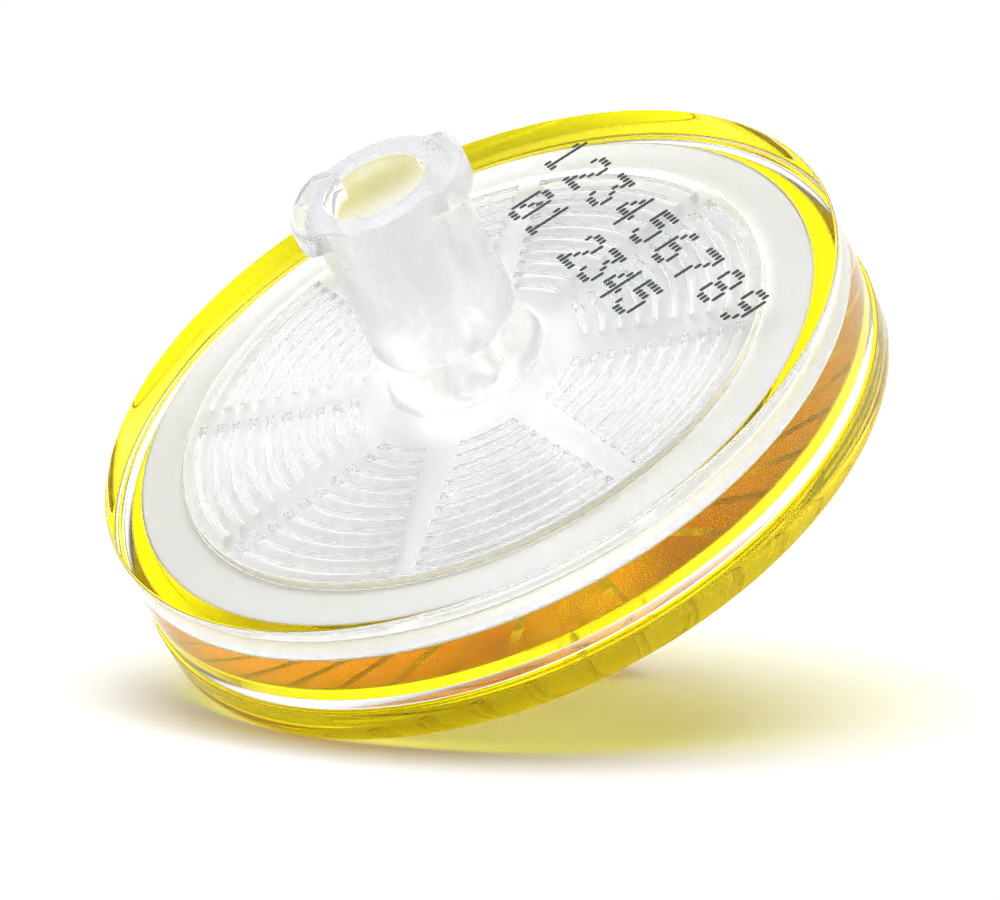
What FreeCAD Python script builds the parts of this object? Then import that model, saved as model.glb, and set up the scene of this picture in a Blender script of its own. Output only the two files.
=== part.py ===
import FreeCAD, Part
import math
import os

# Disc syringe filter: a clear inlet half with a female Luer lock hub, a white
# membrane clamped inside, and a yellow outlet half with a male Luer slip tip.
# Every piece is first built upright, with the flow axis on Z, the inlet up and
# the flat face of the disc at height 0. At the end the filter is laid down the
# way it rests on a table: on the rim of its disc and the end of its tip.
# All sizes are in millimetres and degrees.

# Disc
disc_radius = 16.5
disc_edge_chamfer = 0.12
inlet_plate_thickness = 2.05
inlet_rim_height = 4.3
foot_flange_height = 1.53
foot_flange_step = 0.12
foot_edge_chamfer = 0.15

# Plug of the outlet half, which fills the cup of the inlet half
plug_radius = 15.0
plug_clearance = 0.05

# Skirt of the inlet half, with a weld notch in its lower face. The notch lies
# between two shares of the skirt's thickness, counted from the plug outwards.
skirt_edge_chamfer = 0.2
notch_inner_share = 0.46
notch_outer_share = 0.81
notch_height = 0.38

# Membrane
membrane_thickness = 0.13
membrane_edge_clearance = 0.1

# Inlet chamber over the membrane
chamber_radius = 13.0
inlet_chamber_height = 0.85
inlet_rib_clearance = 0.15

# Rings that spread the flow over the membrane, in the inlet half
rib_count = 10
rib_pitch = 0.8
rib_outer_radius = 12.54
rib_width = 0.4

# Radial channels through those rings
channel_count = 8
channel_inner_width = 1.65
channel_outer_width = 1.0
channel_inner_radius = 2.4
channel_phase = 22.5

# Inlet hub, female Luer lock
hub_height = 9.35
hub_radius = 3.2
hub_foot_chamfer = 0.5
hub_mouth_chamfer = 0.1
luer_taper = 0.03
socket_mouth_radius = 2.15
socket_mouth_chamfer = 0.12
socket_depth = 8.0
inlet_port_radius = 1.0

# Lugs of the Luer lock
lug_count = 2
lug_tip_radius = 3.85
lug_width = 4.8
lug_height = 1.35
lug_corner_rise = 0.4
lug_corner_run = 1.1
lug_top_chamfer = 0.3
lug_phase = 125.5

# Drain side of the outlet half: long and short radial ribs hold the membrane up
drain_depth = 0.7
drain_rib_count = 16
drain_rib_width = 0.4
long_rib_inner_radius = 3.4
short_rib_inner_radius = 6.8
drain_rib_outer_radius = 12.5

# Floor and foot of the outlet half
outlet_floor_thickness = 1.4
foot_ring_width = 3.0

# Outlet nozzle, male Luer slip
nozzle_length = 10.6
nozzle_tip_radius = 1.97
nozzle_tip_chamfer = 0.15
nozzle_cone_length = 8.4
nozzle_root_radius = 2.9
nozzle_root_chamfer = 0.5
outlet_bore_radius = 1.05

# How the filter lies on the table: the compass direction its inlet leans to
lean_heading = -131.2


# Heights that follow from the sizes above
membrane_top = -inlet_plate_thickness
membrane_bottom = membrane_top - membrane_thickness
inlet_ceiling = membrane_top + inlet_chamber_height
foot_flange_top = -inlet_rim_height
disc_bottom = foot_flange_top - foot_flange_height
drain_floor = membrane_bottom - drain_depth
outlet_underside = drain_floor - outlet_floor_thickness
nozzle_end = disc_bottom - nozzle_length
foot_flange_radius = disc_radius + foot_flange_step
cup_radius = plug_radius + plug_clearance
socket_bottom = hub_height - socket_depth
socket_end_radius = socket_mouth_radius - luer_taper * socket_depth

origin = FreeCAD.Vector(0, 0, 0)
axis = FreeCAD.Vector(0, 0, 1)


def turned(points):
    """A full turn about the flow axis of a closed outline of radius and height."""
    corners = [FreeCAD.Vector(radius, 0, height) for radius, height in points]
    outline = Part.makePolygon(corners + corners[:1])
    return Part.Face(outline).revolve(origin, axis, 360)


def ring(inner, outer, bottom, top):
    """A plain ring with a square section."""
    return turned([(inner, bottom), (outer, bottom), (outer, top), (inner, top)])


def around(shape, count, phase):
    """Copies of a shape, evenly spaced about the flow axis."""
    copies = []
    for index in range(count):
        copy = shape.copy()
        copy.rotate(origin, axis, phase + 360.0 * index / count)
        copies.append(copy)
    return copies


def channel_slots(bottom, top):
    """The straight-sided radial slots that join the rings, wider towards the axis."""
    outer = chamber_radius - 0.01
    half_in = channel_inner_width / 2
    half_out = channel_outer_width / 2
    corners = [
        FreeCAD.Vector(channel_inner_radius, -half_in, bottom),
        FreeCAD.Vector(outer, -half_out, bottom),
        FreeCAD.Vector(outer, half_out, bottom),
        FreeCAD.Vector(channel_inner_radius, half_in, bottom),
    ]
    outline = Part.makePolygon(corners + corners[:1])
    slot = Part.Face(outline).extrude(FreeCAD.Vector(0, 0, top - bottom))
    return around(slot, channel_count, channel_phase)


def flow_rings(bottom, top):
    """The concentric rings between two heights, cut through by the channels."""
    rings = []
    for index in range(rib_count):
        outer = rib_outer_radius - index * rib_pitch
        rings.append(ring(outer - rib_width, outer, bottom, top))
    slots = channel_slots(bottom - 1, top + 1)
    pieces = []
    for whole in rings:
        pieces.extend(whole.cut(slots).Solids)
    return pieces


def drain_ribs(bottom, top):
    """Radial ribs between two heights, each long one followed by a short one."""
    step = 180.0 / drain_rib_count
    ribs = []
    for index, inner in enumerate([long_rib_inner_radius, short_rib_inner_radius]):
        bar = Part.makeBox(
            drain_rib_outer_radius - inner,
            drain_rib_width,
            top - bottom,
            FreeCAD.Vector(inner, -drain_rib_width / 2, bottom),
        )
        ribs.extend(around(bar, drain_rib_count, index * step))
    return ribs


def lug():
    """One lug of the Luer lock, pointing along X and cut off by the lug circle."""
    half = lug_width / 2
    bottom = hub_height - lug_height
    corners = [
        FreeCAD.Vector(0, -half, hub_height),
        FreeCAD.Vector(0, half, hub_height),
        FreeCAD.Vector(0, half, bottom + lug_corner_rise),
        FreeCAD.Vector(0, half - lug_corner_run, bottom),
        FreeCAD.Vector(0, -half + lug_corner_run, bottom),
        FreeCAD.Vector(0, -half, bottom + lug_corner_rise),
    ]
    outline = Part.makePolygon(corners + corners[:1])
    block = Part.Face(outline).extrude(FreeCAD.Vector(lug_tip_radius + 1, 0, 0))
    limit = turned([
        (0, bottom),
        (lug_tip_radius, bottom),
        (lug_tip_radius, hub_height - lug_top_chamfer),
        (lug_tip_radius - lug_top_chamfer, hub_height),
        (0, hub_height),
    ])
    return block.common(limit)


def inlet_housing():
    """Clear inlet half: disc with its skirt, hub with its lugs, and flow rings under the disc."""
    skirt_thickness = disc_radius - cup_radius
    notch_inner_radius = cup_radius + notch_inner_share * skirt_thickness
    notch_outer_radius = cup_radius + notch_outer_share * skirt_thickness
    body = turned([
        (inlet_port_radius, inlet_ceiling),
        (inlet_port_radius, socket_bottom),
        (socket_end_radius, socket_bottom),
        (socket_mouth_radius, hub_height - socket_mouth_chamfer),
        (socket_mouth_radius + socket_mouth_chamfer, hub_height),
        (hub_radius - hub_mouth_chamfer, hub_height),
        (hub_radius, hub_height - hub_mouth_chamfer),
        (hub_radius, hub_foot_chamfer),
        (hub_radius + hub_foot_chamfer, 0),
        (disc_radius - disc_edge_chamfer, 0),
        (disc_radius, -disc_edge_chamfer),
        (disc_radius, foot_flange_top + skirt_edge_chamfer),
        (disc_radius - skirt_edge_chamfer, foot_flange_top),
        (notch_outer_radius, foot_flange_top),
        (notch_inner_radius, foot_flange_top + notch_height),
        (notch_inner_radius, foot_flange_top),
        (cup_radius, foot_flange_top),
        (cup_radius, membrane_top),
        (chamber_radius, membrane_top),
        (chamber_radius, inlet_ceiling),
    ])
    inside = turned([
        (0, 0),
        (socket_mouth_radius + socket_mouth_chamfer, 0),
        (socket_mouth_radius + socket_mouth_chamfer, hub_height),
        (0, hub_height),
    ])
    lugs = [piece.cut(inside) for piece in around(lug(), lug_count, lug_phase)]
    ribs = flow_rings(membrane_top + inlet_rib_clearance, inlet_ceiling)
    return body.fuse(lugs + ribs)


def membrane():
    """Thin white membrane disc, its edge clamped between the two halves."""
    return Part.makeCylinder(
        cup_radius - membrane_edge_clearance,
        membrane_thickness,
        FreeCAD.Vector(0, 0, membrane_bottom),
    )


def outlet_housing():
    """Yellow outlet half: plug with its drain ribs, foot flange and nozzle."""
    foot_inner_radius = disc_radius - foot_ring_width
    cone_top = nozzle_end + nozzle_cone_length
    cone_top_radius = nozzle_tip_radius + luer_taper * nozzle_cone_length
    nozzle_shoulder_radius = nozzle_tip_radius + luer_taper * nozzle_tip_chamfer
    body = turned([
        (outlet_bore_radius, drain_floor),
        (chamber_radius, drain_floor),
        (chamber_radius, membrane_bottom),
        (plug_radius, membrane_bottom),
        (plug_radius, foot_flange_top),
        (foot_flange_radius, foot_flange_top),
        (foot_flange_radius, disc_bottom + foot_edge_chamfer),
        (foot_flange_radius - foot_edge_chamfer, disc_bottom),
        (foot_inner_radius, disc_bottom),
        (foot_inner_radius, outlet_underside),
        (nozzle_root_radius + nozzle_root_chamfer, outlet_underside),
        (nozzle_root_radius, outlet_underside - nozzle_root_chamfer),
        (nozzle_root_radius, cone_top),
        (cone_top_radius, cone_top),
        (nozzle_shoulder_radius, nozzle_end + nozzle_tip_chamfer),
        (nozzle_tip_radius - nozzle_tip_chamfer, nozzle_end),
        (outlet_bore_radius, nozzle_end),
    ])
    return body.fuse(drain_ribs(drain_floor, membrane_bottom))


def resting_place(pieces):
    """Where the filter comes to rest: on the lower edge of its foot and of its tip."""
    rim_reach = foot_flange_radius - foot_edge_chamfer
    tip_reach = nozzle_tip_radius - nozzle_tip_chamfer
    tilt = math.degrees(math.atan2(nozzle_length, rim_reach - tip_reach))
    lean = FreeCAD.Rotation(FreeCAD.Vector(0, 1, 0), tilt)
    turn = FreeCAD.Rotation(axis, lean_heading)
    turned_place = FreeCAD.Placement(origin, turn.multiply(lean))
    whole = Part.makeCompound(pieces)
    whole.Placement = turned_place
    box = whole.optimalBoundingBox(False)
    shift = FreeCAD.Vector(-box.Center.x, -box.Center.y, -box.ZMin)
    return FreeCAD.Placement(shift, turned_place.Rotation)


nodes = {
    "inlet_housing": inlet_housing(),
    "membrane": membrane(),
    "outlet_housing": outlet_housing(),
}
place = resting_place(list(nodes.values()))
os.makedirs("parts", exist_ok=True)
for name, shape in nodes.items():
    laid = shape.copy()
    laid.Placement = place.multiply(laid.Placement)
    laid.exportStep("parts/" + name + ".step")
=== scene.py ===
import math
import bpy
import bmesh
from mathutils import Matrix, Vector


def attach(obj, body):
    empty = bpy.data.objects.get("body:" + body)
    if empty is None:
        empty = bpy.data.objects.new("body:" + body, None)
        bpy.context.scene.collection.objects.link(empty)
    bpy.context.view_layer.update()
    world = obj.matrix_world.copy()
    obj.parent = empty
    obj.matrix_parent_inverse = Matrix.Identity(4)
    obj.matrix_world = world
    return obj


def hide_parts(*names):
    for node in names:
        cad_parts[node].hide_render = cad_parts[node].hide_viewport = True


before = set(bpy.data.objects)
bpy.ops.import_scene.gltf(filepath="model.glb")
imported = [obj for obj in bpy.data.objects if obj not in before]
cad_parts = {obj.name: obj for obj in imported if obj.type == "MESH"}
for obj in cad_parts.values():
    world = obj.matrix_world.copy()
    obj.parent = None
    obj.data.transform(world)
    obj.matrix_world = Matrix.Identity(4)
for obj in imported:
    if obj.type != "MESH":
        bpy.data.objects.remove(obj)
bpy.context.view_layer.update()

MM = 0.001

# The filter's own frame: flow axis on Z, top face of the disc at height 0. Sizes are in
# mm and as in the CAD.
GAP = 0.01  # air between neighbouring pieces, so that no two faces lie in one plane

# Radii
DISC_R = 16.5
FLANGE_R = 16.62
CUP_R = 15.05
PLUG_R = 15.0
NOTCH_IN = 15.717
NOTCH_OUT = 16.2245
SKIRT_CHAMFER = 0.18
MEMBRANE_R = 14.95
CHAMBER_R = 13.0
CEILING_R = 12.9  # where the level ceiling and the drain floor begin, inside their fillets
RING_R = 12.54
FOOT_INNER_R = 13.5
NOZZLE_ROOT_R = 2.9
NOZZLE_CONE_R = 2.222
NOZZLE_TIP_R = 1.97
BORE_R = 1.05
PORT_R = 1.0
SOCKET_END_R = 1.91
SOCKET_R = 2.146
SOCKET_MOUTH_R = 2.27
HUB_R = 3.2
HUB_FOOT_R = 4.2  # holds the hub with its foot fillet

# Heights
HUB_TOP = 9.35
SOCKET_BOTTOM = 1.35
SOCKET_CHAMFER = 0.12
CEILING = -1.2
RIB_BOTTOM = -1.9
MEMBRANE_TOP = -2.05
MEMBRANE_BOTTOM = -2.18
DRAIN_FLOOR = -2.88
NOTCH_TOP = -3.92
UNDERSIDE = -4.28
SKIRT_BOTTOM = -4.29
FLANGE_TOP = -4.3
DISC_BOTTOM = -5.83
NOZZLE_CONE_TOP = -8.03
NOZZLE_END = -16.43

# Flow rings and the channels through them
RINGS = 10
RING_PITCH = 0.8
RING_WIDTH = 0.4
RING_SOFT = 0.1  # radius of the rings' lower edges
CHANNELS = 8
CHANNEL_PHASE = math.radians(22.5)
CHANNEL_HALF_IN = 0.825
CHANNEL_HALF_OUT = 0.5
CHANNEL_IN_R = 2.4
CHANNEL_OUT_R = 12.99
CHANNEL_SLOPE = 0.2  # how far the rings' ends lean back

# Drain ribs, each long one followed by a short one
DRAIN_RIBS = 32
DRAIN_RIB_HALF = 0.2
LONG_RIB_R = 3.4
SHORT_RIB_R = 6.8
DRAIN_RIB_OUT_R = 12.5
SLOT_R = 12.0  # a radius inside both patterns, where each angle's side of a slot is read

# Lugs of the Luer lock
LUG_PHASE = math.radians(125.5)
LUG_HALF = 2.4
LUG_FLAT_HALF = 1.3
LUG_R = 3.85
LUG_H = 1.35
LUG_RISE = 0.4

# It lies on the floor as the CAD does: leaned over, turned, and lifted to the floor
FOOT_CHAMFER = 0.15
TIP_CHAMFER = 0.15
TILT = math.atan2(
    DISC_BOTTOM - NOZZLE_END, (FLANGE_R - FOOT_CHAMFER) - (NOZZLE_TIP_R - TIP_CHAMFER))
HEADING = math.radians(-131.2)
LIFT = Vector((-1.1751, -1.3329, 14.3779))
PLACE = (
    Matrix.Translation(LIFT * MM)
    @ Matrix.Rotation(HEADING, 4, "Z")
    @ Matrix.Rotation(TILT, 4, "Y")
)


# ---------------------------------------------------------------- mesh helpers

def rounded(points, radii, steps=6):
    """The outline of (r, z) points with the named corners rounded: radii maps index to radius."""
    out = []
    n = len(points)
    for i, p in enumerate(points):
        radius = radii.get(i, 0)
        if not radius:
            out.append(p)
            continue
        a = Vector(points[i - 1]) - Vector(p)
        b = Vector(points[(i + 1) % n]) - Vector(p)
        a.normalize()
        b.normalize()
        half = a.angle(b) / 2
        reach = radius / math.tan(half)
        start = Vector(p) + a * reach
        end = Vector(p) + b * reach
        centre = Vector(p) + (a + b).normalized() * (radius / math.sin(half))
        u = start - centre
        v = end - centre
        turn = u.angle(v)
        for k in range(steps + 1):
            f = k / steps
            w = (u * math.sin((1 - f) * turn) + v * math.sin(f * turn)) / math.sin(turn)
            out.append(tuple(centre + w))
    return out


def woven(name, rings):
    """A solid from rings of (r, angle, z) points, each ring joined to the next."""
    verts = []
    faces = []
    n = len(rings[0])
    for ring in rings:
        for r, a, z in ring:
            verts.append((r * math.cos(a) * MM, r * math.sin(a) * MM, z * MM))
    count = len(rings)
    for k in range(count):
        p = k * n
        q = ((k + 1) % count) * n
        for i in range(n):
            j = (i + 1) % n
            faces.append((p + i, p + j, q + j, q + i))
    mesh = bpy.data.meshes.new(name)
    mesh.from_pydata(verts, [], faces)
    bm = bmesh.new()
    bm.from_mesh(mesh)
    bmesh.ops.remove_doubles(bm, verts=bm.verts, dist=2e-7)
    bmesh.ops.dissolve_degenerate(bm, edges=bm.edges, dist=1e-7)
    bmesh.ops.recalc_face_normals(bm, faces=bm.faces)
    bm.to_mesh(mesh)
    bm.free()
    return finished(name, mesh)


def finished(name, mesh):
    """A mesh as a smooth object, sharp at its hard edges, laid in its place."""
    for polygon in mesh.polygons:
        polygon.use_smooth = True
    mesh.set_sharp_from_angle(angle=math.radians(28))
    obj = bpy.data.objects.new(name, mesh)
    bpy.context.scene.collection.objects.link(obj)
    obj.matrix_world = PLACE
    return obj


def turned_from(a, b):
    """The angle from b to a, between minus and plus half a turn."""
    return (a - b + math.pi) % (2 * math.pi) - math.pi


def slot_angles(count, phase, half_width, r, between, across, slope=0.0):
    """Angles round a ring that fall on both sides of evenly spaced straight slots.

    Each side of a slot comes twice, so that a wall of a given slope can stand there.
    Returns (angle, index, in_slot)."""
    angles = []
    half = math.asin(min(0.95, half_width / r))
    foot = math.asin(min(0.95, (half_width + slope) / r))
    step = 2 * math.pi / count
    for index in range(count):
        middle = phase + index * step
        for k in range(across + 1):
            angles.append((middle - half + 2 * half * k / across, index, True))
        for k in range(between + 1):
            f = k / between
            angles.append((middle + foot + (step - 2 * foot) * f, index, False))
    return angles


def snapped(angles, targets):
    """The same angles, with the nearest pair moved onto each target angle."""
    out = list(angles)
    for target in targets:
        best = min(range(len(out)), key=lambda i: abs(turned_from(out[i], target)))
        old = out[best]
        shift = turned_from(target, old)
        for i in range(len(out)):
            if abs(out[i] - old) < 1e-9:
                out[i] = old + shift
    return out


# ---------------------------------------------------------------- inlet housing

def channel_half(r):
    """Half the width of a flow channel at a radius: wider towards the axis."""
    f = (r - CHANNEL_IN_R) / (CHANNEL_OUT_R - CHANNEL_IN_R)
    return CHANNEL_HALF_IN + (CHANNEL_HALF_OUT - CHANNEL_HALF_IN) * f


def inlet_rings():
    """Rings of points round the inlet housing, from its port over the hub to its ceiling."""
    between, across = 26, 4
    rings = []

    def angles_at(r):
        found = slot_angles(
            CHANNELS, CHANNEL_PHASE, channel_half(r), r, between, across, CHANNEL_SLOPE)
        return [a for a, _, _ in found]

    in_slot = [s for _, _, s in slot_angles(
        CHANNELS, CHANNEL_PHASE, CHANNEL_HALF_OUT, SLOT_R, between, across)]
    even = angles_at(CEILING_R)

    lug_middles = (LUG_PHASE, LUG_PHASE + math.pi)
    lug_in = math.asin(LUG_HALF / LUG_R)
    lug_out = math.asin(LUG_HALF / HUB_R)
    corner = math.asin(LUG_FLAT_HALF / LUG_R)
    targets = []
    for middle in lug_middles:
        for offset in (lug_in, lug_out, corner):
            targets += [middle - offset, middle + offset]
    hub = snapped(even, targets)

    def ring(r, z, angles):
        return [(r, a, z) for a in angles]

    def lug_share(a):
        """(outer radius, underside height, top chamfer) of the hub at an angle."""
        best = min(abs(turned_from(a, middle)) for middle in lug_middles)
        if best >= lug_out - 1e-6:
            return HUB_R, HUB_TOP - LUG_H + LUG_RISE, 0.1
        r = LUG_R if best <= lug_in + 1e-6 else LUG_HALF / math.sin(best)
        across_lug = r * math.sin(best)
        rise = LUG_RISE * max(0.0, (across_lug - LUG_FLAT_HALF) / (LUG_HALF - LUG_FLAT_HALF))
        return r, HUB_TOP - LUG_H + rise, 0.1 + 0.22 * (r - HUB_R) / (LUG_R - HUB_R)

    # port, socket and mouth
    inner = rounded(
        [(PORT_R, CEILING), (PORT_R, SOCKET_BOTTOM), (SOCKET_END_R, SOCKET_BOTTOM),
         (SOCKET_R, HUB_TOP - SOCKET_CHAMFER), (SOCKET_MOUTH_R, HUB_TOP)],
        {1: 0.12, 2: 0.25, 3: 0.3}, 4)
    for r, z in inner:
        rings.append(ring(r, z, even if z < 2 else hub))

    # mouth rim and lugs, down to the barrel: each row gives (radius, height) from
    # what lug_share gives
    def e(r):
        """Radius of a lug's lower edges."""
        return 0.12 * (r - HUB_R) / (LUG_R - HUB_R)

    rows = []
    for k in range(5):
        f = math.pi / 2 * k / 4
        rows.append(lambda r, u, c, f=f: (
            r - c + c * math.sin(f), HUB_TOP - c + c * math.cos(f)))
    for k in range(4):
        f = math.pi / 2 * k / 3
        rows.append(lambda r, u, c, f=f: (
            r - e(r) + e(r) * math.cos(f), u + e(r) - e(r) * math.sin(f)))
    for k in range(4):
        f = math.pi / 2 * k / 3
        rows.append(lambda r, u, c, f=f: (
            HUB_R + e(r) - e(r) * math.sin(f), u - e(r) + e(r) * math.cos(f)))
    for row in rows:
        out = []
        for a in hub:
            r, u, c = lug_share(a)
            rr, z = row(r, u, c)
            out.append((rr, a, z))
        rings.append(out)
    rings.append(ring(HUB_R, HUB_TOP - LUG_H - LUG_RISE, hub))
    # barrel, foot, plate, edge, skirt with its weld notch, cup and chamber
    outer = rounded(
        [(HUB_R, 3.0), (HUB_R, 0.0), (DISC_R, 0.0), (DISC_R, SKIRT_BOTTOM),
         (NOTCH_OUT, SKIRT_BOTTOM), (NOTCH_IN, NOTCH_TOP), (NOTCH_IN, SKIRT_BOTTOM),
         (CUP_R, SKIRT_BOTTOM), (CUP_R, MEMBRANE_TOP), (CHAMBER_R, MEMBRANE_TOP),
         (CHAMBER_R, CEILING)],
        {1: 0.6, 2: 0.15, 3: 0.18, 5: 0.03, 8: 0.03, 9: 0.05, 10: 0.12}, 6)
    for r, z in outer:
        rings.append(ring(r, z, even))
    # ceiling with its flow rings, cut through by the channels
    rings.append(ring(CEILING_R - 0.2, CEILING, even))
    arc = []
    for k in range(6):
        f = math.pi / 2 * k / 5
        arc.append((RING_SOFT * (1 - math.cos(f)), RING_SOFT * math.sin(f)))
    for index in range(RINGS):
        r_out = RING_R - RING_PITCH * index
        r_in = r_out - RING_WIDTH
        outline = [(r_out, CEILING)]
        outline += [(r_out - a, RIB_BOTTOM + RING_SOFT - b) for a, b in arc]
        outline += [(r_in + a, RIB_BOTTOM + RING_SOFT - b) for a, b in arc[::-1]]
        outline += [(r_in, CEILING)]
        for r, z in outline:
            angles = angles_at(r)
            rings.append([(r, a, CEILING if s else z) for a, s in zip(angles, in_slot)])
    rings.append(ring(HUB_FOOT_R, CEILING, angles_at(HUB_FOOT_R)))
    rings.append(ring(CHANNEL_IN_R, CEILING, even))
    return rings


# ---------------------------------------------------------------- outlet housing

def outlet_rings():
    """Rings of points round the outlet housing, from its drain over the plug to its nozzle."""
    def slots_at(r):
        return slot_angles(DRAIN_RIBS, 0.0, DRAIN_RIB_HALF, r, 5, 1)

    def angles_at(r):
        return [a for a, _, _ in slots_at(r)]

    in_rib = [(i, s) for _, i, s in slots_at(SLOT_R)]
    even = angles_at(CEILING_R)
    top = MEMBRANE_BOTTOM - GAP
    rings = []
    outer = rounded(
        [(CEILING_R, DRAIN_FLOOR), (CHAMBER_R, DRAIN_FLOOR), (CHAMBER_R, top), (PLUG_R, top),
         (PLUG_R, FLANGE_TOP), (CUP_R, FLANGE_TOP), (NOTCH_IN, FLANGE_TOP),
         (NOTCH_OUT, FLANGE_TOP), (DISC_R - SKIRT_CHAMFER, FLANGE_TOP), (FLANGE_R, FLANGE_TOP),
         (FLANGE_R, DISC_BOTTOM), (FOOT_INNER_R, DISC_BOTTOM), (FOOT_INNER_R, UNDERSIDE),
         (NOZZLE_ROOT_R, UNDERSIDE), (NOZZLE_ROOT_R, NOZZLE_CONE_TOP),
         (NOZZLE_CONE_R, NOZZLE_CONE_TOP), (NOZZLE_TIP_R, NOZZLE_END), (BORE_R, NOZZLE_END),
         (BORE_R, DRAIN_FLOOR)],
        {2: 0.05, 3: 0.08, 9: 0.08, 10: 0.15, 11: 0.1, 12: 0.2, 13: 0.5, 14: 0.15, 15: 0.1,
         16: 0.15, 17: 0.08}, 5)
    for r, z in outer:
        rings.append([(r, a, z) for a in even])
    # drain floor with long and short radial ribs
    for r, longs, shorts in (
        (LONG_RIB_R, 0, 0), (LONG_RIB_R, 1, 0), (SHORT_RIB_R, 1, 0), (SHORT_RIB_R, 1, 1),
        (DRAIN_RIB_OUT_R, 1, 1), (DRAIN_RIB_OUT_R, 0, 0),
    ):
        out = []
        for a, (i, s) in zip(angles_at(r), in_rib):
            up = s and (longs if i % 2 == 0 else shorts)
            out.append((r, a, top if up else DRAIN_FLOOR))
        rings.append(out)
    return rings


# ---------------------------------------------------------------- materials

PLASTIC_IOR = 1.57
# The hub lets through a little less light than the rest of the clear plastic: painted shade, to
# make it look greyer
HUB_PAINTED_SHADE_TINT = 0.97
POLISHED = 0.0
WELDED = -1.0  # stands for a face that the light passes straight through


def plastic(name, absorb=None, density=0.0):
    """Clear plastic, whose faces store how matt they are and whether they are welded.

    Without absorption they also store how much light each of them lets through; on the hub this
    is lowered as painted shade, to make it look greyer."""
    material = bpy.data.materials.new(name)
    material.use_nodes = True
    nodes = material.node_tree.nodes
    links = material.node_tree.links
    shader = nodes["Principled BSDF"]
    shader.inputs["Base Color"].default_value = (1.0, 1.0, 1.0, 1.0)
    shader.inputs["Roughness"].default_value = POLISHED
    shader.inputs["IOR"].default_value = PLASTIC_IOR
    shader.inputs["Transmission Weight"].default_value = 1.0
    shader.inputs["Specular Tint"].default_value = (0.4, 0.4, 0.4, 1.0)
    stored = {"matt": "Roughness", "index": "IOR"}
    # Clear plastic also takes a per-face tint, which darkens the hub as painted shade
    if not absorb:
        stored["painted_shade_tint"] = "Base Color"
    for label, socket in stored.items():
        value = nodes.new("ShaderNodeAttribute")
        value.attribute_name = label
        links.new(value.outputs["Fac"], shader.inputs[socket])
    if absorb:
        volume = nodes.new("ShaderNodeVolumeAbsorption")
        volume.inputs["Color"].default_value = (*absorb, 1.0)
        volume.inputs["Density"].default_value = density
        links.new(volume.outputs["Volume"], nodes["Material Output"].inputs["Volume"])
    return material


def matte(name, colour, roughness):
    """A plain solid colour without gloss."""
    material = bpy.data.materials.new(name)
    material.use_nodes = True
    shader = material.node_tree.nodes["Principled BSDF"]
    shader.inputs["Base Color"].default_value = (*colour, 1.0)
    shader.inputs["Roughness"].default_value = roughness
    return material


def on_hub(r, z):
    """Whether a face belongs to the hub, its socket, its lugs or its foot."""
    return z > 0.05 and r < HUB_FOOT_R


def clear_finish(r, z, side):
    """How matt a face of the inlet housing is, from its place and how far it faces sideways."""
    if on_hub(r, z):
        return 0.12 if r < 2.3 else 0.24
    if CUP_R < r < DISC_R - SKIRT_CHAMFER and z < SKIRT_BOTTOM + 0.001:
        return WELDED
    if abs(r - CUP_R) < 0.04 and SKIRT_BOTTOM + 0.01 < z < MEMBRANE_BOTTOM - 0.05:
        return WELDED
    if r > CUP_R - 0.02 or z > -0.1:
        return POLISHED
    if side > 0.25:
        return 0.8
    if r > CEILING_R and z < CEILING - 0.02:
        return 0.5 if r > CHAMBER_R + 0.06 else POLISHED
    return 0.3


def yellow_finish(r, z, side):
    """How matt a face of the outlet housing is, from its place."""
    on_weld = CUP_R < r < DISC_R - SKIRT_CHAMFER and not NOTCH_IN < r < NOTCH_OUT
    if on_weld and abs(z - FLANGE_TOP) < 0.001:
        return WELDED
    if abs(r - PLUG_R) < 0.04 and FLANGE_TOP + 0.01 < z < MEMBRANE_BOTTOM - 0.05:
        return WELDED
    return 0.25 if z > UNDERSIDE + 0.05 and r < 14.8 else POLISHED


def finish_faces(obj, choose):
    """Store on each face how matt it is, its refraction index, and how much light it lets
    through, which is lowered on the hub as painted shade.

    The index is 1 where the face is welded to its neighbour."""
    matt = obj.data.attributes.new("matt", "FLOAT", "FACE")
    index = obj.data.attributes.new("index", "FLOAT", "FACE")
    painted_shade_tint = obj.data.attributes.new("painted_shade_tint", "FLOAT", "FACE")
    for polygon in obj.data.polygons:
        c = polygon.center
        r = math.hypot(c.x, c.y)
        side = abs(c.x * polygon.normal.y - c.y * polygon.normal.x) / r
        value = choose(r / MM, c.z / MM, side)
        matt.data[polygon.index].value = POLISHED if value == WELDED else value
        index.data[polygon.index].value = 1.0 if value == WELDED else PLASTIC_IOR
        # Painted shade: the hub's faces pass a little less light than the rest of the housing
        painted_shade_tint.data[polygon.index].value = HUB_PAINTED_SHADE_TINT if on_hub(r / MM, c.z / MM) else 1.0


membrane_white = matte("membrane_white", (0.93, 0.95, 0.965), 1.0)
ink = matte("print_ink", (0.022, 0.036, 0.036), 0.5)


# ---------------------------------------------------------------- pieces

inlet = woven("inlet_housing_clear", inlet_rings())
inlet.data.materials.append(plastic("clear_plastic"))
finish_faces(inlet, clear_finish)
outlet = woven("outlet_housing_yellow", outlet_rings())
outlet.data.materials.append(plastic("yellow_plastic", (0.9985, 0.9862, 0.0), 3000.0))
finish_faces(outlet, yellow_finish)

sheet_outline = [
    (0.02, MEMBRANE_TOP - GAP), (MEMBRANE_R, MEMBRANE_TOP - GAP),
    (MEMBRANE_R, MEMBRANE_BOTTOM), (0.02, MEMBRANE_BOTTOM),
]
sheet = woven("membrane_sheet", [
    [(r, 2 * math.pi * i / 128, z) for i in range(128)] for r, z in sheet_outline])
sheet.data.materials.append(membrane_white)

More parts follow.
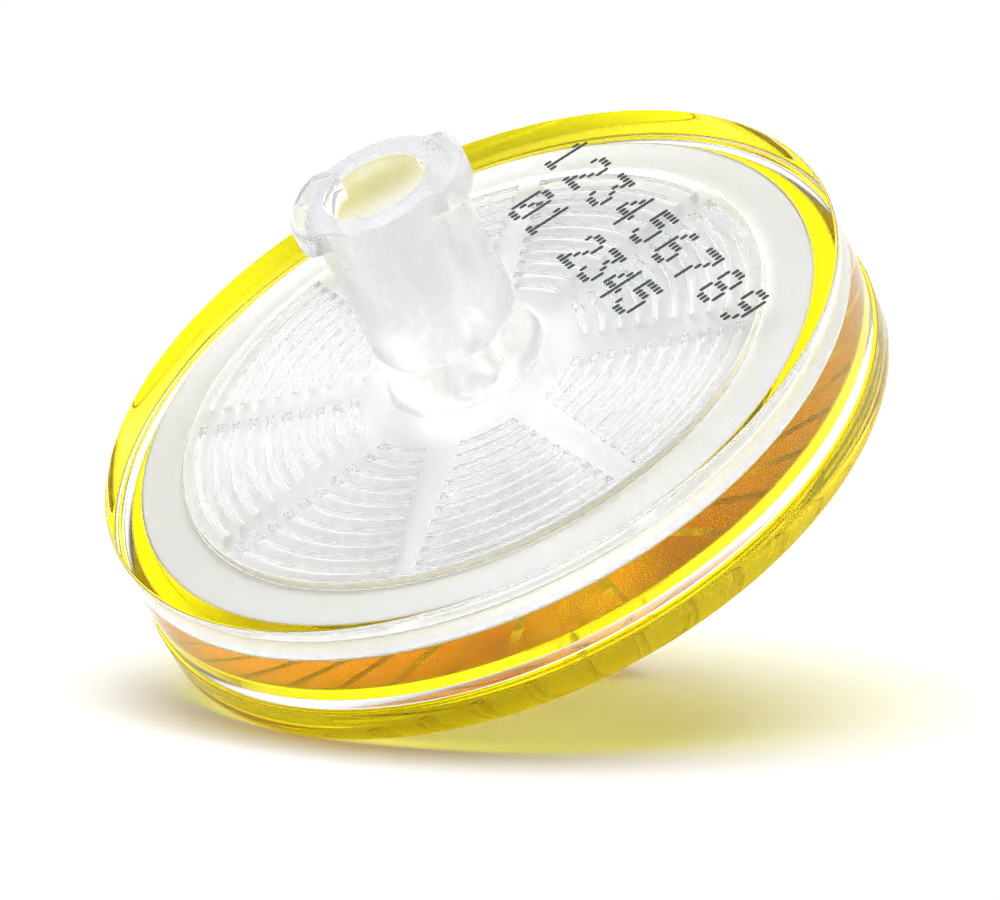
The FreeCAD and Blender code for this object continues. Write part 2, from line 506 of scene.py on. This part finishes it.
# Two rows of plain numbers in ink-jet dots on top of the disc
DIGITS = {
    "0": "01110 10001 10011 10101 11001 10001 01110",
    "1": "00100 01100 00100 00100 00100 00100 01110",
    "2": "01110 10001 00001 00010 00100 01000 11111",
    "3": "11111 00010 00100 00010 00001 10001 01110",
    "4": "00010 00110 01010 10010 11111 00010 00010",
    "5": "11111 10000 11110 00001 00001 10001 01110",
    "6": "00110 01000 10000 11110 10001 10001 01110",
    "7": "11111 00001 00010 00100 01000 01000 01000",
    "8": "01110 10001 10001 01110 10001 10001 01110",
    "9": "01110 10001 10001 01111 00001 00010 01100",
}


DOT_ALONG, DOT_UP = 0.28, 0.29  # spacing of the dots in a digit
DOT_LOW, DOT_TOP = 0.004, 0.016  # heights over the disc of the ink's two faces
DOT_SIDES = 12


def dot_outline():
    """A dot of ink about its own centre: a short dash with round ends."""
    half_long, half_wide = 0.18, 0.105
    outline = []
    for i in range(DOT_SIDES):
        a = 2 * math.pi * i / DOT_SIDES
        end = half_long - half_wide if math.sin(a) >= 0 else half_wide - half_long
        outline.append((half_wide * math.cos(a), half_wide * math.sin(a) + end))
    return outline


def dot_places(rows):
    """Where the dots stand along and across the print.

    Rows are (text, start along, start up, pitch)."""
    for text, start, base, pitch in rows:
        for k, char in enumerate(text):
            if char not in DIGITS:
                continue
            for row, line in enumerate(DIGITS[char].split()):
                for column, on in enumerate(line):
                    if on == "1":
                        yield start + k * pitch + column * DOT_ALONG, base + (6 - row) * DOT_UP


def dots(name, rows):
    """The ink dots of some rows of digits, laid on the top of the disc."""
    heading = math.radians(61)
    along = Vector((math.cos(heading), math.sin(heading)))
    up = Vector((-math.sin(heading), math.cos(heading)))
    bm = bmesh.new()
    for x, y in dot_places(rows):
        outline = [along * (x + u) + up * (y + v) for u, v in dot_outline()]
        low_verts = [bm.verts.new((p.x * MM, p.y * MM, DOT_LOW * MM)) for p in outline]
        top_verts = [bm.verts.new((p.x * MM, p.y * MM, DOT_TOP * MM)) for p in outline]
        bm.faces.new(top_verts)
        bm.faces.new(low_verts[::-1])
        for i in range(DOT_SIDES):
            j = (i + 1) % DOT_SIDES
            bm.faces.new((low_verts[i], low_verts[j], top_verts[j], top_verts[i]))
    mesh = bpy.data.meshes.new(name)
    bm.to_mesh(mesh)
    bm.free()
    return finished(name, mesh)


print_rows = dots(
    "printed_numbers", [("123456789", -9.9, 8.9, 2.18), ("01 2345", -8.0, 6.1, 1.78)])
print_rows.data.materials.append(ink)

for piece in (inlet, outlet, sheet, print_rows):
    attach(piece, "root")
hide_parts("inlet_housing")
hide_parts("outlet_housing")
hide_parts("membrane")

# ---------------------------------------------------------------- floor, light and camera

def combine(tree, operation, a, b):
    """A math node between two numbers or outputs of other nodes."""
    node = tree.nodes.new("ShaderNodeMath")
    node.operation = operation
    for socket, value in zip(node.inputs, (a, b)):
        if isinstance(value, float):
            socket.default_value = value
        else:
            tree.links.new(value, socket)
    return node.outputs[0]


FLOOR_REACH = 12.0
FLOOR_Z = -0.00002  # a hair under the object, so that it rests clear of the floor
corners = ((-1, -1), (1, -1), (1, 1), (-1, 1))
floor_mesh = bpy.data.meshes.new("floor")
floor_mesh.from_pydata(
    [(FLOOR_REACH * x, FLOOR_REACH * y, FLOOR_Z) for x, y in corners], [], [(0, 1, 2, 3)])
floor = bpy.data.objects.new("floor", floor_mesh)
bpy.context.scene.collection.objects.link(floor)
floor_material = bpy.data.materials.new("floor")
floor_material.use_nodes = True
tree = floor_material.node_tree
for node in list(tree.nodes):
    tree.nodes.remove(node)
output = tree.nodes.new("ShaderNodeOutputMaterial")
diffuse = tree.nodes.new("ShaderNodeBsdfDiffuse")
diffuse.inputs["Color"].default_value = (0.97, 0.97, 0.97, 1.0)
glow = tree.nodes.new("ShaderNodeEmission")
glow.inputs["Color"].default_value = (1.0, 1.0, 1.0, 1.0)
path = tree.nodes.new("ShaderNodeLightPath")
seen = combine(tree, "MAXIMUM", path.outputs["Is Camera Ray"], path.outputs["Is Glossy Ray"])
seen = combine(tree, "MAXIMUM", seen, path.outputs["Is Transmission Ray"])
tree.links.new(combine(tree, "MULTIPLY", seen, 0.05), glow.inputs["Strength"])
add = tree.nodes.new("ShaderNodeAddShader")
tree.links.new(diffuse.outputs[0], add.inputs[0])
tree.links.new(glow.outputs[0], add.inputs[1])
tree.links.new(add.outputs[0], output.inputs["Surface"])
floor.data.materials.append(floor_material)

world = bpy.data.worlds.new("studio")
bpy.context.scene.world = world
world.use_nodes = True
sky = world.node_tree
background = sky.nodes["Background"]
background.inputs["Color"].default_value = (1.0, 1.0, 1.0, 1.0)
world.cycles.sampling_method = "NONE"  # the soft world has no small lamp worth aiming rays at


def span(source, low, high, at_low, at_high):
    """A smooth change of a value from one level to another."""
    node = sky.nodes.new("ShaderNodeMapRange")
    node.interpolation_type = "SMOOTHSTEP"
    node.inputs["From Min"].default_value = low
    node.inputs["From Max"].default_value = high
    node.inputs["To Min"].default_value = at_low
    node.inputs["To Max"].default_value = at_high
    sky.links.new(source, node.inputs["Value"])
    return node.outputs["Result"]


def nearness(direction):
    """How near a ray points to a direction."""
    node = sky.nodes.new("ShaderNodeVectorMath")
    node.operation = "DOT_PRODUCT"
    node.inputs[1].default_value = direction
    sky.links.new(where, node.inputs[0])
    return node.outputs["Value"]


# Pale walls at the back, a dim front, a soft light overhead, and a dark card where the top
# of the disc would mirror the room
where = sky.nodes.new("ShaderNodeTexCoord").outputs["Generated"]
split = sky.nodes.new("ShaderNodeSeparateXYZ")
sky.links.new(where, split.inputs["Vector"])
lamp = span(split.outputs["Z"], 0.75, 0.95, 0.0, 2.45)
card = span(nearness((-0.4215, 0.5094, 0.7505)), 0.95, 0.985, 1.0, 0.12)
room = span(split.outputs["Y"], -0.35, 0.15, 0.27, 1.15)
through = combine(sky, "MULTIPLY", combine(sky, "ADD", room, lamp), card)
# What lights matt surfaces directly is dimmer at the sides, as under a hood
fill = span(split.outputs["Y"], -0.35, 0.15, 0.04, 0.5)
direct = combine(sky, "ADD", fill, combine(sky, "MULTIPLY", lamp, 1.3))
on_matt = sky.nodes.new("ShaderNodeLightPath").outputs["Is Diffuse Ray"]
other = combine(sky, "MULTIPLY", combine(sky, "SUBTRACT", direct, through), on_matt)
sky.links.new(combine(sky, "ADD", through, other), background.inputs["Strength"])

CAMERA_RISE = 7.7085  # degrees above the table, found from the rim ellipses in the photo
camera_data = bpy.data.cameras.new("camera")
camera = bpy.data.objects.new("camera", camera_data)
bpy.context.scene.collection.objects.link(camera)
camera_data.sensor_width = 36.0
camera_data.lens = 180.0
camera_data.clip_start = 0.01
camera_data.clip_end = 50.0
camera.location = Vector((0.306, -207.14, 38.41)) * MM
camera.rotation_euler = (math.radians(90 - CAMERA_RISE), 0.0, 0.0)
bpy.context.scene.camera = camera

scene = bpy.context.scene
scene.view_settings.view_transform = "Standard"
clear_bounces = 16
scene.cycles.max_bounces = clear_bounces
scene.cycles.transmission_bounces = clear_bounces
scene.cycles.glossy_bounces = clear_bounces
scene.cycles.diffuse_bounces = 2
scene.cycles.caustics_refractive = True
scene.cycles.caustics_reflective = True
scene.cycles.blur_glossy = 0.0
scene.cycles.denoising_prefilter = "FAST"
scene.cycles.sample_clamp_indirect = 0.0
